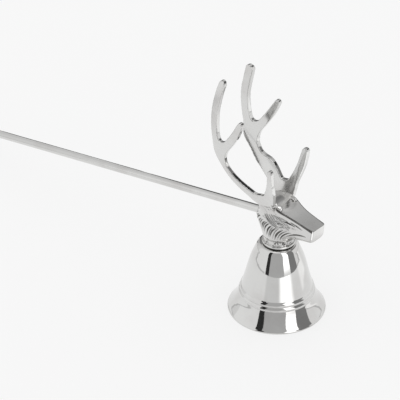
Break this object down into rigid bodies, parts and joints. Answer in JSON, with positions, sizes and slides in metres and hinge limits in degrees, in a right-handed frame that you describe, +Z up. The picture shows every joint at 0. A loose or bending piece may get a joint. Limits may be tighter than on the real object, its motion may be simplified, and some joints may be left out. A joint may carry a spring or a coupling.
{
  "type": "candle snuffer",
  "caption": "Polished metal candle snuffer: a flared bell cup under a cast stag's head with antlers, on a straight rod handle.",
  "frame": {"origin": "centre of the cup's mouth, in the plane of its rim, which stands on the table", "axes": "+Z up the cup's axis, +X the way the stag looks, +Y the stag's left; the rod handle runs back along -X and down to the table"},
  "size_m": [0.3185, 0.048, 0.1228],
  "materials": {
    "cup_polish": "mirror polished",
    "head_casting": "polished casting with carved fur",
    "antler_casting": "polished casting",
    "rod_polish": "polished round stock",
    "screw_steel": "bright zinc"
  },
  "bodies": {
    "root": {"bell_cup": "cup_polish", "stag_head": "head_casting", "left_antler": "antler_casting", "right_antler": "antler_casting", "handle_rod": "rod_polish", "cup_screw": "screw_steel", "cup_washer": "screw_steel"}
  },
  "joints": []
}
